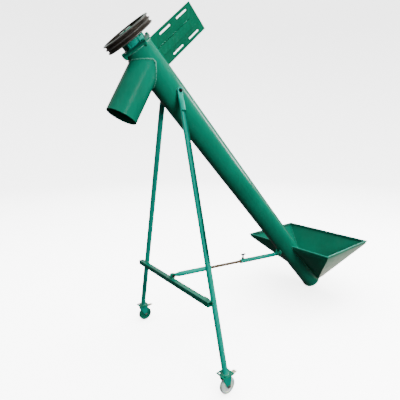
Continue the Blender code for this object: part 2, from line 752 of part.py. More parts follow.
def fork(name, foot, top):
    """Crown disc and two cheeks, pressed from one sheet."""
    inner = WHEEL_W / 2 + 0.0015
    cheek_t = 0.0025
    crown_t = 0.004
    crown_size = (0.060, 2 * inner + cheek_t, crown_t)
    crown = box("caster_fork_" + name, crown_size, at(foot, x=0.004, z=top - crown_t / 2))
    for cheek_side in (-1, 1):
        y = cheek_side * (inner + cheek_t / 2)
        bm = bmesh.new()
        low = WHEEL_R - 0.010
        outline = [
            (-0.025, top - 0.001), (0.033, top - 0.001), (CASTER_TRAIL + 0.011, WHEEL_R + 0.004),
            (CASTER_TRAIL + 0.008, low), (CASTER_TRAIL - 0.008, low),
            (CASTER_TRAIL - 0.013, WHEEL_R + 0.004), (-0.025, top - 0.016),
        ]
        inside = [bm.verts.new((px, y - cheek_t / 2, pz)) for px, pz in outline]
        outside = [bm.verts.new((px, y + cheek_t / 2, pz)) for px, pz in outline]
        count = len(outline)
        for i in range(count):
            j = (i + 1) % count
            bm.faces.new((inside[i], inside[j], outside[j], outside[i]))
        bm.faces.new(inside)
        bm.faces.new(list(reversed(outside)))
        cheek = new_object("cheek_cutter_%s_%d" % (name, cheek_side), bm, foot)
        boolean(crown, cheek, "UNION")
    axle = at(foot, x=CASTER_TRAIL, z=WHEEL_R)
    boolean(crown, rods("fork_axle_cutter_" + name, AXLE_R + GAP, 0.08, [(0, 0, 0)], axle, axis="Y"))
    finish(crown, "green", smooth=False)


def brake_pedal(name, foot):
    """Rocking brake pedal above the wheel, its inner end between the fork cheeks."""
    pivot = turn(at(foot, x=PEDAL_X, z=PEDAL_Z), "Y", -6)
    size = (PEDAL_LENGTH, 0.026, 0.004)
    pedal = box("brake_pedal_" + name, size, at(pivot, x=PEDAL_LENGTH / 2 - 0.010))
    bevel = pedal.modifiers.new("edge", "BEVEL")
    bevel.width = 0.0012
    bevel.segments = 2
    finish(pedal, "pedal", smooth=False)


# ---- assembly -----------------------------------------------------------
auger_tube()
discharge_spout()
end_cap()
top_end()
screw_shaft()
flighting()
drive_pulley()
motor_mount()
hopper_bin()
leg("leg_front", -1)
leg("leg_rear", 1)
leg_pivots()
cross_bar()
strut()
strut_brackets()
caster("front", -1)
caster("rear", 1)
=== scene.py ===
import json
import math

import bmesh
import bpy
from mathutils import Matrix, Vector


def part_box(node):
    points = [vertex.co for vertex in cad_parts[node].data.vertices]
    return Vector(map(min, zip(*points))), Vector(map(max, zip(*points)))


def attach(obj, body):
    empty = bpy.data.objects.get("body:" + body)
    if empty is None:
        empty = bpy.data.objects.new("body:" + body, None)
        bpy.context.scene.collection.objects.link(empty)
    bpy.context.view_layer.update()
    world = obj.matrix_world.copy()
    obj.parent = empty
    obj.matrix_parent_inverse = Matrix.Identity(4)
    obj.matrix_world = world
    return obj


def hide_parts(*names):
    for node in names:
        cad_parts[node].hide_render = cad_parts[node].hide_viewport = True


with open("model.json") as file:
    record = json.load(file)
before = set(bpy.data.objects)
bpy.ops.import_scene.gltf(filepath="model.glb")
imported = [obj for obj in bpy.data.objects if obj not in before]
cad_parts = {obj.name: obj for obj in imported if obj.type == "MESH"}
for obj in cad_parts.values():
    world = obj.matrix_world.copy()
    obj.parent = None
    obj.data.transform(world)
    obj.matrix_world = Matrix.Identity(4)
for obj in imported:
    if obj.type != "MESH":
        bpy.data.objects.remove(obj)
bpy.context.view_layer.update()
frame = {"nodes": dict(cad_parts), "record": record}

# ---- what the frame says ------------------------------------------------
RECORD = frame["record"]
NODES = frame["nodes"]
JOINTS = {joint["name"]: joint for joint in RECORD["behaviour"]["joints"]}
MOUNTS = {mount["name"]: mount for mount in RECORD["mounts"]}
NODE_SLOT = {part["node"]: part["material_slot"] for part in RECORD["subparts"]}
BODIES = RECORD["behaviour"]["bodies"]
NODE_BODY = {node: body for body, nodes in BODIES.items() for node in nodes}
ACROSS = Vector((0.0, 1.0, 0.0))
UP = Vector((0.0, 0.0, 1.0))
ALONG = Vector(JOINTS["screw_spin"]["axis"])       # up the auger tube
OUT = ACROSS.cross(ALONG)                          # square to the tube, upwards
SIDES = (("front", -1), ("rear", 1))


def points(node):
    return [vertex.co.copy() for vertex in NODES[node].data.vertices]


def span(node, direction):
    """How far a node reaches along a direction: lowest and highest."""
    reach = [point.dot(direction) for point in points(node)]
    return min(reach), max(reach)


def centre(node):
    low, high = (Vector(corner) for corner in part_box(node))
    return (low + high) / 2


TUBE_LOW, TUBE_HIGH = span("auger_tube", ALONG)
on_axis = Vector(JOINTS["screw_spin"]["pos_m"])
FOOT = on_axis + ALONG * (TUBE_LOW - on_axis.dot(ALONG))
TUBE_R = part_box("auger_tube")[1][1]
TUBE_LENGTH = TUBE_HIGH - TUBE_LOW
SPOUT_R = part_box("discharge_spout")[1][1]
SPOUT_DIR = Vector(MOUNTS["spout_mouth_rim"]["axis"])
PULLEY_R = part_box("drive_pulley")[1][1]
LEG_PIVOT = Vector(JOINTS["leg_fold"]["pos_m"])
CLAMP_AXIS = Vector(JOINTS["clamp_turn"]["axis"])
STRUT_DIR = Vector(JOINTS["strut_slide"]["axis"])


def on_tube(s, out=0.0, y=0.0):
    """A point at distance s up the tube, offset out of it and across."""
    return FOOT + ALONG * s + OUT * out + ACROSS * y


def off_axis(point):
    """Distance of a point from the tube's axis."""
    offset = point - FOOT
    return (offset - ALONG * offset.dot(ALONG)).length


def skin_out(y):
    """How far out of the axis the tube's skin is, at a distance across."""
    return math.sqrt(TUBE_R ** 2 - y ** 2)


# ---- shader helpers -----------------------------------------------------
EDGE_FLAT, EDGE_SHARP = 0.995, 0.80                # likeness of the rounded and the plain normal


def set_inputs(node, values):
    for name, value in values.items():
        node.inputs[name].default_value = value


class Shader:
    """A material under construction, with short calls for its nodes and links."""

    def __init__(self, name):
        self.mat = bpy.data.materials.new(name)
        self.mat.use_nodes = True
        self.tree = self.mat.node_tree
        self.surface = self.tree.nodes["Principled BSDF"]
        self.place = self.tree.nodes.new("ShaderNodeTexCoord").outputs["Object"]

    def node(self, kind, **inputs):
        made = self.tree.nodes.new("ShaderNode" + kind)
        for name, value in inputs.items():
            self.plug(made.inputs[name], value)
        return made

    def plug(self, socket, value):
        if isinstance(value, bpy.types.NodeSocket):
            self.tree.links.new(value, socket)
        else:
            socket.default_value = value

    def math(self, operation, first, second=0.0):
        made = self.tree.nodes.new("ShaderNodeMath")
        made.operation = operation
        self.plug(made.inputs[0], first)
        self.plug(made.inputs[1], second)
        return made.outputs[0]

    def vector(self, operation, first, second, output=0):
        made = self.tree.nodes.new("ShaderNodeVectorMath")
        made.operation = operation
        self.plug(made.inputs[0], first)
        self.plug(made.inputs[1], second)
        return made.outputs[output]

    def noise(self, scale, detail=3.0, roughness=0.55, stretch=None):
        made = self.node("TexNoise", Scale=scale, Detail=detail, Roughness=roughness)
        place = self.place
        if stretch:
            place = self.vector("MULTIPLY", self.place, stretch)
        self.tree.links.new(place, made.inputs["Vector"])
        return made.outputs["Fac"]

    def cells(self, scale):
        """Distance to the nearest of many scattered spots."""
        made = self.node("TexVoronoi", Scale=scale)
        self.tree.links.new(self.place, made.inputs["Vector"])
        return made.outputs["Distance"]

    def span(self, value, low, high, to_low=0.0, to_high=1.0):
        """Maps a value from one range to another, clamped."""
        made = self.tree.nodes.new("ShaderNodeMapRange")
        self.plug(made.inputs["Value"], value)
        set_inputs(made, {"From Min": low, "From Max": high, "To Min": to_low, "To Max": to_high})
        return made.outputs["Result"]

    def mix(self, share, first, second):
        made = self.tree.nodes.new("ShaderNodeMix")
        made.data_type = "RGBA"
        self.plug(made.inputs[0], share)
        for socket, colour in ((made.inputs[6], first), (made.inputs[7], second)):
            self.plug(socket, (*colour, 1.0) if isinstance(colour, tuple) else colour)
        return made.outputs[2]

    def bump(self, height, distance, strength=1.0, under=None):
        made = self.node("Bump", Height=height, Distance=distance, Strength=strength)
        if under:
            self.tree.links.new(under, made.inputs["Normal"])
        return made.outputs["Normal"]

    def edges(self, radius):
        """0 on flat stretches, rising to 1 on an outer or inner edge."""
        rounded = self.node("Bevel", Radius=radius)
        rounded.samples = 4
        plain = self.tree.nodes.new("ShaderNodeNewGeometry")
        likeness = self.vector("DOT_PRODUCT", rounded.outputs[0], plain.outputs["Normal"], 1)
        return self.span(likeness, EDGE_FLAT, EDGE_SHARP)

    def radius_from(self, point, direction):
        """Distance of each surface point from a line."""
        offset = self.vector("SUBTRACT", self.place, tuple(point))
        swept = self.vector("CROSS_PRODUCT", offset, tuple(direction))
        return self.vector("LENGTH", swept, (0, 0, 0), 1)

    def finish(self, colour, roughness, normal=None, **fixed):
        self.plug(self.surface.inputs["Base Color"], colour)
        self.plug(self.surface.inputs["Roughness"], roughness)
        if normal:
            self.tree.links.new(normal, self.surface.inputs["Normal"])
        set_inputs(self.surface, {name.replace("_", " "): value for name, value in fixed.items()})
        return self.mat


# ---- materials ----------------------------------------------------------
PAINT = (0.0, 0.165, 0.098)
PAINT_DEEP = (0.0, 0.118, 0.068)
PAINT_THIN = (0.0, 0.225, 0.140)
WELD_CREST = (0.10, 0.42, 0.30)
PRIMER = (0.10, 0.12, 0.10)
GRIT = (0.16, 0.17, 0.14)
DUST = (0.10, 0.16, 0.12)
STEEL = (0.42, 0.41, 0.39)
FLIGHT_STEEL = (0.30, 0.29, 0.27)
BLACKED = (0.022, 0.021, 0.022)
RUST = (0.12, 0.085, 0.055)
RUST_PALE = (0.20, 0.13, 0.085)
RUST_DEEP = (0.05, 0.028, 0.018)
IRON_OILED = (0.055, 0.047, 0.038)
IRON_DRY = (0.135, 0.112, 0.090)
IRON_RING = (0.24, 0.21, 0.18)
IRON_LAND = (0.46, 0.46, 0.43)
LAND_FROM, LAND_TO = 0.0030, 0.0012                # the polished rim, inwards from the edge
NYLON_SCUFF = (0.42, 0.42, 0.36)


def paint(name, light=PAINT, deep=PAINT_DEEP, gloss=0.19, dust=0.05, wear=0.18):
    """Brushed and sprayed machine enamel: blotches, runs, orange peel, thin chipped edges."""
    s = Shader(name)
    blotch = s.span(s.noise(2.6, 4.0), 0.32, 0.68)
    runs = s.span(s.noise(9.0, 3.0, stretch=(6.0, 6.0, 0.5)), 0.35, 0.75)
    body = s.mix(blotch, deep, light)
    body = s.mix(s.math("MULTIPLY", runs, 0.16), body, PAINT_THIN)
    edge = s.edges(0.0022)
    rough_edge = s.math("MULTIPLY", edge, s.span(s.noise(75.0, 5.0, 0.7), 0.52, 0.66))
    body = s.mix(s.math("MULTIPLY", edge, 0.30), body, PAINT_THIN)
    body = s.mix(s.math("MULTIPLY", rough_edge, wear), body, PRIMER)
    specks = s.span(s.cells(55.0), 0.055, 0.035)
    scarce = s.span(s.noise(7.0, 2.0), 0.60, 0.66)
    body = s.mix(s.math("MULTIPLY", specks, scarce), body, GRIT)
    film = s.math("MULTIPLY", s.span(s.noise(14.0, 6.0, 0.65), 0.45, 0.80), dust)
    body = s.mix(film, body, DUST)
    sheen = s.span(s.noise(22.0, 4.0), 0.3, 0.7, gloss - 0.05, gloss + 0.07)
    rough = s.math("ADD", sheen, film)
    waves = s.bump(s.noise(13.0, 2.0), 0.0010, 0.22)
    peel = s.bump(s.noise(420.0, 2.0), 0.0002, 0.22, waves)
    return s.finish(body, rough, peel, Coat_Weight=0.12, Coat_Roughness=0.12,
                    Specular_IOR_Level=0.24)


def bare_metal(name, colour, rough, grain, stain=RUST, stained=0.12, metallic=0.9):
    """Machined or rolled steel with fine scratches and a little staining."""
    s = Shader(name)
    cloud = s.noise(30.0, 6.0, 0.65)
    scratch = s.noise(60.0, 3.0, stretch=grain)
    dull = tuple(channel * 0.55 for channel in colour)
    shade = s.mix(s.span(scratch, 0.3, 0.7, 0.0, 0.5), colour, dull)
    spots = s.span(cloud, 0.62 - stained * 0.5, 0.72)
    shade = s.mix(s.math("MULTIPLY", spots, min(1.0, stained * 3.0)), shade, stain)
    polish = s.span(scratch, 0.3, 0.7, rough - 0.08, rough + 0.10)
    finish = s.math("ADD", polish, s.math("MULTIPLY", spots, 0.25))
    marks = s.bump(scratch, 0.0002, 0.35, s.bump(cloud, 0.0004, 0.3))
    return s.finish(shade, finish, marks, Metallic=metallic)


def rusted_rod(name):
    """A bare drawn bar, brown all over, with darker patches."""
    s = Shader(name)
    patches = s.span(s.noise(18.0, 8.0, 0.7), 0.36, 0.60)
    fine = s.noise(260.0, 4.0, 0.7)
    shade = s.mix(patches, RUST_PALE, RUST)
    shade = s.mix(s.span(fine, 0.35, 0.75, 0.0, 0.6), shade, RUST_DEEP)
    rough = s.span(patches, 0.0, 1.0, 0.42, 0.72)
    return s.finish(shade, rough, s.bump(fine, 0.0004, 0.6), Metallic=0.35)


def cast_iron(name):
    """Lathe-turned grooves and rim, oiled dark, with bright tool rings."""
    s = Shader(name)
    radius = s.radius_from(FOOT, ALONG)
    turned = s.node("TexNoise", Scale=1.0, Detail=4.0)
    turned.noise_dimensions = "1D"
    s.plug(turned.inputs["W"], s.math("MULTIPLY", radius, 1400.0))
    rings = turned.outputs["Fac"]
    grease = s.noise(26.0, 5.0, 0.6)
    shade = s.mix(s.span(grease, 0.35, 0.68), IRON_OILED, IRON_DRY)
    shade = s.mix(s.span(rings, 0.52, 0.68, 0.0, 0.16), shade, IRON_RING)
    land = s.span(radius, PULLEY_R - LAND_FROM, PULLEY_R - LAND_TO)
    shade = s.mix(s.math("MULTIPLY", land, 0.55), shade, IRON_LAND)
    greasy = s.span(grease, 0.3, 0.7, 0.34, 0.50)
    rough = s.math("SUBTRACT", greasy, s.math("MULTIPLY", land, 0.12))
    return s.finish(shade, rough, s.bump(rings, 0.0002, 0.5), Metallic=0.85)


def nylon(name, colour, depth, coated):
    """Milky moulded wheel, green overspray on its sides."""
    s = Shader(name)
    spray = s.span(s.noise(34.0, 5.0, 0.6), 0.60 - coated * 0.45, 0.85 - coated * 0.55)
    scuffs = s.noise(120.0, 4.0, 0.7)
    shade = s.mix(s.math("MULTIPLY", spray, coated), colour, depth)
    shade = s.mix(s.span(scuffs, 0.62, 0.78, 0.0, 0.35), shade, NYLON_SCUFF)
    rough = s.span(scuffs, 0.3, 0.7, 0.20, 0.38)
    return s.finish(shade, rough, s.bump(scuffs, 0.0003, 0.3), Subsurface_Weight=0.35,
                    Subsurface_Scale=0.012, Coat_Weight=0.2)


def weld_paint(name):
    """Paint over a weld: the same green, thicker, glossier and a little lighter on its ripples."""
    s = Shader(name)
    lumps = s.noise(240.0, 3.0, 0.6)
    body = s.mix(s.span(lumps, 0.40, 0.62), PAINT_DEEP, WELD_CREST)
    rough = s.span(lumps, 0.3, 0.7, 0.16, 0.34)
    return s.finish(body, rough, s.bump(lumps, 0.0006, 0.5), Coat_Weight=0.6, Coat_Roughness=0.06)


GREEN = paint("green_enamel")
# A lighter copy of the green paint, a painted highlight. It is used on the legs, struts, forks,
# bearing neck, rim hem and hub washer.
LIT_GREEN = paint("lit_enamel", light=(0.0, 0.310, 0.232), deep=(0.0, 0.215, 0.152),
                  gloss=0.20, dust=0.03)
# A darker copy of the green paint, painted shade on the motor plate and its channel.
SHADED_PLATE_GREEN = paint("shaded_plate_enamel", light=(0.0, 0.105, 0.052), deep=(0.0, 0.080, 0.040),
                    gloss=0.24)
HOPPER_GREEN = paint("hopper_enamel", gloss=0.34, dust=0.10, wear=0.3)
# A near-black copy of the green paint, painted shade on the bearing plate and on the band under
# the hopper's rim.
SHADOW_GREEN = paint("shadowed_enamel", light=(0.0, 0.060, 0.040), deep=(0.0, 0.030, 0.020),
                   gloss=0.35)
WELD = weld_paint("weld_enamel")
IRON = cast_iron("turned_iron")
ZINC = bare_metal("zinc_steel", STEEL, 0.30, (1.0, 1.0, 8.0))
BLACK = bare_metal("black_oxide", BLACKED, 0.36, (1.0, 8.0, 1.0), stained=0.20, metallic=0.75)
FLIGHT = bare_metal("flight_steel", FLIGHT_STEEL, 0.34, (3.0, 3.0, 3.0), stained=0.25)
ROD = rusted_rod("rusted_bar")
WHEEL = nylon("milky_nylon", (0.74, 0.80, 0.74), (0.25, 0.60, 0.46), 0.35)
WHEEL_SPRAYED = nylon("sprayed_nylon", (0.10, 0.42, 0.28), PAINT, 1.0)
PEDAL = paint("beige_enamel", light=(0.52, 0.47, 0.34), deep=(0.40, 0.36, 0.25), gloss=0.34,
              dust=0.2)
SLOT_LOOK = {
    "green_paint": GREEN, "cast_iron": IRON, "bright_steel": ZINC, "dark_steel": BLACK,
    "rusty_steel": ROD, "nylon_wheel": WHEEL, "pedal_plastic": PEDAL,
}
# Lit and shaded copies of the green paint. The neck, legs, struts and forks take the lighter copy
# (painted highlight). The motor plate and its channel take the darker copy (painted shade). The
# bearing plate takes the near-black copy (painted shade).
NODE_LOOK = {
    "hopper": HOPPER_GREEN, "bearing_plate": SHADOW_GREEN, "top_bearing_housing": LIT_GREEN,
    "motor_plate": SHADED_PLATE_GREEN, "motor_plate_channel": SHADED_PLATE_GREEN, "screw_flighting": FLIGHT,
    "leg_front": LIT_GREEN, "leg_rear": LIT_GREEN, "strut_lower_tube": LIT_GREEN,
    "strut_upper_tube": LIT_GREEN, "caster_fork_front": LIT_GREEN, "caster_fork_rear": LIT_GREEN,
    "caster_wheel_rear": WHEEL_SPRAYED,
}


# ---- pieces from the frame's own shapes ----------------------------------
SMOOTH_BELOW = math.radians(32)
EASE_ABOVE = math.radians(40)
EASE_WIDTH = 0.0006
SAME_POINT = 0.00002
SAME_PLANE = math.radians(0.4)
WEB_INSIDE = 0.0195                                # the painted web stops this far inside the rim
NO_BEVEL = {"hopper", "screw_flighting", "screw_shaft", "top_bearing", "bottom_bearing",
            "pulley_key"}


def add_piece(name, mesh, body, look):
    obj = bpy.data.objects.new(name, mesh)
    bpy.context.scene.collection.objects.link(obj)
    mesh.materials.clear()
    mesh.materials.append(look)
    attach(obj, body)
    return obj


def mesh_from(bm, name):
    """Turns a finished bmesh into a smooth mesh with its faces outward."""
    bmesh.ops.recalc_face_normals(bm, faces=bm.faces)
    mesh = bpy.data.meshes.new(name)
    bm.to_mesh(mesh)
    bm.free()
    mesh.shade_smooth()
    return mesh


def dressed(node):
    """A copy of a CAD node with its facets joined, its edges eased and its round faces smooth."""
    bm = bmesh.new()
    bm.from_mesh(NODES[node].data)
    bmesh.ops.remove_doubles(bm, verts=bm.verts, dist=SAME_POINT)
    bmesh.ops.dissolve_limit(bm, angle_limit=SAME_PLANE, verts=bm.verts, edges=bm.edges)
    mesh = bpy.data.meshes.new(node + "_skin")
    bm.to_mesh(mesh)
    bm.free()
    slot = NODE_SLOT[node]
    look = NODE_LOOK.get(node, SLOT_LOOK[slot])
    piece = add_piece(node + "_skin", mesh, NODE_BODY[node], look)
    mesh.shade_smooth()
    mesh.set_sharp_from_angle(angle=SMOOTH_BELOW)
    if node not in NO_BEVEL:
        ease = piece.modifiers.new("eased_edges", "BEVEL")
        ease.width = EASE_WIDTH
        ease.segments = 2
        ease.limit_method = "ANGLE"
        ease.angle_limit = EASE_ABOVE
        ease.harden_normals = True
    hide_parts(node)
    return piece


SKINS = {node: dressed(node) for node in NODES}


def paint_pulley_web(piece):
    """The dished web and hub are painted; the rim stays turned iron."""
    piece.data.materials.append(GREEN)
    for face in piece.data.polygons:
        if off_axis(face.center) < PULLEY_R - WEB_INSIDE:
            face.material_index = 1


paint_pulley_web(SKINS["drive_pulley"])


# ---- new pieces: sweeps and turned shapes --------------------------------
WELD_STEP = 0.0032
WELD_RIPPLE = 0.16
GOLDEN_ANGLE = 2.39996                             # keeps the ripples from repeating


def resample(path, step, closed):
    """Points at an even step along a polyline."""
    path = [Vector(p) for p in path] + ([Vector(path[0])] if closed else [])
    lengths = [(b - a).length for a, b in zip(path, path[1:])]
    count = max(2, round(sum(lengths) / step))
    result, i, gone = [], 0, 0.0
    for k in range(count if closed else count + 1):
        want = sum(lengths) * k / count
        while i < len(lengths) - 1 and gone + lengths[i] < want:
            gone += lengths[i]
            i += 1
        share = (want - gone) / lengths[i] if lengths[i] else 0.0
        result.append(path[i].lerp(path[i + 1], min(1.0, share)))
    return result


def sweep(name, path, radius, body, look, closed=False, step=0.003, sides=8, ripple=0.0):
    """A round bead along a path; ripple swells it once every other step, as weld laps do."""
    line = resample(path, step, closed)
    bm = bmesh.new()
    rings = []
    count = len(line)
    for k, point in enumerate(line):
        ahead = line[(k + 1) % count] if closed else line[min(k + 1, count - 1)]
        behind = line[k - 1] if closed else line[max(k - 1, 0)]
        tangent = (ahead - behind).normalized()
        side = tangent.cross(UP if abs(tangent.dot(UP)) < 0.9 else ACROSS).normalized()
        rise = tangent.cross(side)
        lap = 1.0 + ripple * (0.6 if k % 2 else -0.6) + ripple * 0.5 * math.sin(k * GOLDEN_ANGLE)
        taper = 1.0 if closed else min(1.0, 0.45 + 0.3 * min(k, count - 1 - k))
        r = radius * lap * taper
        rings.append([
            bm.verts.new(point + side * (r * math.cos(a)) + rise * (r * math.sin(a)))
            for a in (2 * math.pi * i / sides for i in range(sides))
        ])
    pairs = list(zip(rings, rings[1:])) + ([(rings[-1], rings[0])] if closed else [])
    for lower, upper in pairs:
        for i in range(sides):
            j = (i + 1) % sides
            bm.faces.new((lower[i], lower[j], upper[j], upper[i]))
    if not closed:
        bm.faces.new(list(reversed(rings[0])))
        bm.faces.new(rings[-1])
    return add_piece(name, mesh_from(bm, name), body, look)


def weld(name, path, radius, body, closed=False):
    return sweep(name, path, radius, body, WELD, closed, step=WELD_STEP, ripple=WELD_RIPPLE)


def circle(middle, axis, radius, count=64):
    """Points round a circle, square to an axis."""
    axis = Vector(axis).normalized()
    first = axis.cross(ACROSS if abs(axis.dot(ACROSS)) < 0.9 else UP).normalized()
    second = axis.cross(first)
    angles = (2 * math.pi * i / count for i in range(count))
    return [middle + first * (radius * math.cos(a)) + second * (radius * math.sin(a))
            for a in angles]


def lathe(name, profile, middle, axis, body, look, steps=32):
    """A solid turned about an axis from (radius, height) points that start and end on it."""
    axis = Vector(axis).normalized()
    bm = bmesh.new()
    rings = []
    for radius, height in profile:
        base = middle + axis * height
        ring = circle(base, axis, radius, steps) if radius else [base]
        rings.append([bm.verts.new(point) for point in ring])
    for lower, upper in zip(rings, rings[1:]):
        for i in range(steps):
            j = (i + 1) % steps
            corners = [lower[i % len(lower)], lower[j % len(lower)],
                       upper[j % len(upper)], upper[i % len(upper)]]
            bm.faces.new(list(dict.fromkeys(corners)))
    mesh = mesh_from(bm, name)
    mesh.set_sharp_from_angle(angle=SMOOTH_BELOW)
    return add_piece(name, mesh, body, look)


# ---- weld beads ---------------------------------------------------------
SKIN_SLACK = 0.0012                                # a point this near counts as on the tube's skin
BEAD_SPOUT = 0.0050
BEAD_PLATE = 0.0032
BEAD_FLANGE = 0.0030                               # also round the casters' plates
BEAD_FOOT = 0.0028                                 # also along the strut's bracket
BEAD_FRAME = 0.0026                                # leg bosses, hopper and cross bar
BEAD_LUG = 0.0024
BEAD_GUSSET = 0.0022
BEAD_CHANNEL = 0.0018                              # also down the hopper's corners
BEAD_CHANNEL_SIDE = 0.0014
CHANNEL_STITCHES = ((0.12, 0.30), (0.48, 0.62), (0.82, 0.97))
HOPPER_BAND = 0.026                                # height of the hopper's rim
HOPPER_LIP = 0.010                                 # width of the folded edge
HEM_R = 0.0036
# A dark band under the rim's inner edge, a painted shadow under the folded lip.
RIM_SHADOW_R = 0.0050
RIM_SHADOW_DROP = 0.0100
RIM_SHADOW_IN = 0.004
BAR_BESIDE = 0.0095                                # the bar's beads stand this far beside the leg


def spout_root():
    """Where the spout's axis meets the tube's axis."""
    mouth = Vector(MOUNTS["spout_mouth_rim"]["pos_m"])
    mouth.y = 0.0
    short = (mouth - FOOT).dot(OUT) / SPOUT_DIR.dot(OUT)
    return mouth - SPOUT_DIR * short


def spout_saddle():
    """The closed curve where the spout's pipe meets the tube's."""
    root = spout_root()
    lean = SPOUT_DIR.cross(ACROSS)
    path = []
    for i in range(120):
        a = 2 * math.pi * i / 120
        half = SPOUT_R * math.sin(a)
        depth = -math.sqrt(max(0.0, TUBE_R ** 2 - half ** 2))
        t = (depth - SPOUT_R * math.cos(a) * lean.dot(OUT)) / SPOUT_DIR.dot(OUT)
        path.append(root + SPOUT_DIR * t + lean * (SPOUT_R * math.cos(a)) + ACROSS * half)
    return path


def tube_welds():
    weld("weld_spout", spout_saddle(), BEAD_SPOUT, "root", closed=True)
    foot_ring = circle(on_tube(0.0015), ALONG, TUBE_R + 0.0005)
    weld("weld_foot", foot_ring, BEAD_FOOT, "root", closed=True)
    flange_ring = circle(on_tube(TUBE_LENGTH - 0.0010), ALONG, TUBE_R)
    weld("weld_flange", flange_ring, BEAD_FLANGE, "root", closed=True)


def motor_plate_welds():
    low, high = (reach - TUBE_LOW for reach in span("motor_plate", ALONG))
    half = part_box("motor_plate")[1][1]
    for tag, y in (("near", -half), ("far", half)):
        path = [on_tube(low + 0.006, skin_out(y), y), on_tube(high - 0.006, skin_out(y), y)]
        weld("weld_motor_plate_" + tag, path, BEAD_PLATE, "root")
    low, high = (reach - TUBE_LOW for reach in span("motor_plate_channel", ALONG))
    y0, y1 = (corner[1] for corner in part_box("motor_plate_channel"))
    end = span("motor_plate_channel", OUT)[1] - FOOT.dot(OUT)
    corner = skin_out(y0)
    for tag, s in (("low", low), ("high", high)):
        path = [on_tube(s, skin_out(y0 * k / 5), y0 * k / 5) for k in range(1, 6)]
        weld("weld_channel_%s_tube" % tag, path, BEAD_CHANNEL, "root")
        for k, stitch in enumerate(CHANNEL_STITCHES):
            path = [on_tube(s, corner + (end - corner) * share, y1) for share in stitch]
            weld("weld_channel_%s_%d" % (tag, k), path, BEAD_CHANNEL_SIDE, "root")
    path = [on_tube(s, end, y1) for s in (low, high)]
    weld("weld_channel_end", path, BEAD_CHANNEL_SIDE, "root")


def boss_welds():
    for name, side in SIDES:
        low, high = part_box("leg_pivot_boss_" + name)
        radius = (high[0] - low[0]) / 2
        path = []
        for i in range(40):
            a = 2 * math.pi * i / 40
            across = radius * math.cos(a)
            spot = LEG_PIVOT + OUT * across + ALONG * (radius * math.sin(a))
            path.append(spot + ACROSS * (side * skin_out(across)))
        weld("weld_boss_" + name, path, BEAD_FRAME, "root", closed=True)


def bracket_welds():
    low, high = (reach - TUBE_LOW for reach in span("strut_bracket", ALONG))
    for name, side in SIDES:
        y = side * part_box("strut_bracket")[1][1]
        path = [on_tube(low, -skin_out(y), y), on_tube(high, -skin_out(y), y)]
        weld("weld_bracket_" + name, path, BEAD_FOOT, "root")


def on_tube_skin(point):
    return abs(off_axis(point) - TUBE_R) < SKIN_SLACK


def chains(links):
    """Joins point pairs into polylines."""
    near = {}
    for a, b in links:
        near.setdefault(a, []).append(b)
        near.setdefault(b, []).append(a)
    unused = set(near)
    found = []
    while unused:
        ends = sorted(p for p in unused if len(near[p]) == 1) or sorted(unused)
        line = [ends[0]]
        unused.discard(ends[0])
        while True:
            onward = sorted(p for p in near[line[-1]] if p in unused)
            if not onward:
                break
            line.append(onward[0])
            unused.discard(onward[0])
        found.append(line)
    return found


def hopper_tube_welds():
    """Beads where each hopper wall meets the tube, inside and out."""
    mesh = SKINS["hopper"].data
    links = {}                                     # used as an ordered set
    for face in mesh.polygons:
        corners = [mesh.vertices[i].co for i in face.vertices]
        if all(on_tube_skin(c) for c in corners):
            continue
        for a, b in zip(corners, corners[1:] + corners[:1]):
            if on_tube_skin(a) and on_tube_skin(b) and (a - b).length > 0.0005:
                ends = (tuple(round(v, 5) for v in end) for end in (a, b))
                links[tuple(sorted(ends))] = True
    lines = [line for line in chains(links) if len(line) > 4]
    lines.sort(key=lambda line: line[0])
    for k, line in enumerate(lines):
        weld("weld_hopper_%d" % k, line, BEAD_FRAME, "root")


def hopper_corners():
    """Seams down the four corners, a hem round the inner edge of the rim, painted in the lighter
    green as a painted highlight, and a dark band under it as a painted shadow under the lip.
    """
    low, high = (Vector(corner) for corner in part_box("hopper"))
    verts = [v.co for v in SKINS["hopper"].data.vertices]
    lowest = [v for v in verts if v.z < low.z + 0.0005]
    foot_y = max(abs(v.y) for v in lowest)
    ends = (("low", low.x, min, HOPPER_LIP), ("high", high.x, max, -HOPPER_LIP))
    for tag, x, near_x, inward_x in ends:
        foot_x = near_x(v.x for v in lowest)
        for name, side in SIDES:
            foot = Vector((foot_x, side * foot_y, low.z))
            inward = Vector((inward_x, -side * HOPPER_LIP, -HOPPER_BAND))
            head = Vector((x, side * high.y, high.z)) + inward
            weld("seam_%s_%s" % (tag, name), [head, foot.lerp(head, 0.03)], BEAD_CHANNEL, "root")
    hem, shadow_band = [], []
    for end, side in ((1, 1), (-1, 1), (-1, -1), (1, -1)):
        x = (low.x if end > 0 else high.x) + end * HOPPER_LIP
        y = (low.y if side > 0 else high.y) + side * HOPPER_LIP
        hem.append(Vector((x, y, high.z - 0.0012)))
        shadow_band.append(hem[-1] + Vector((end * RIM_SHADOW_IN, side * RIM_SHADOW_IN, -RIM_SHADOW_DROP)))
    # The hem is drawn in the lighter copy of the green as a painted highlight on the lip. The band
    # below it is a painted shadow under the lip.
    sweep("hopper_hem", hem, HEM_R, "root", LIT_GREEN, closed=True, step=0.02)
    sweep("hopper_rim_shadow", shadow_band, RIM_SHADOW_R, "root", SHADOW_GREEN, closed=True, step=0.02)


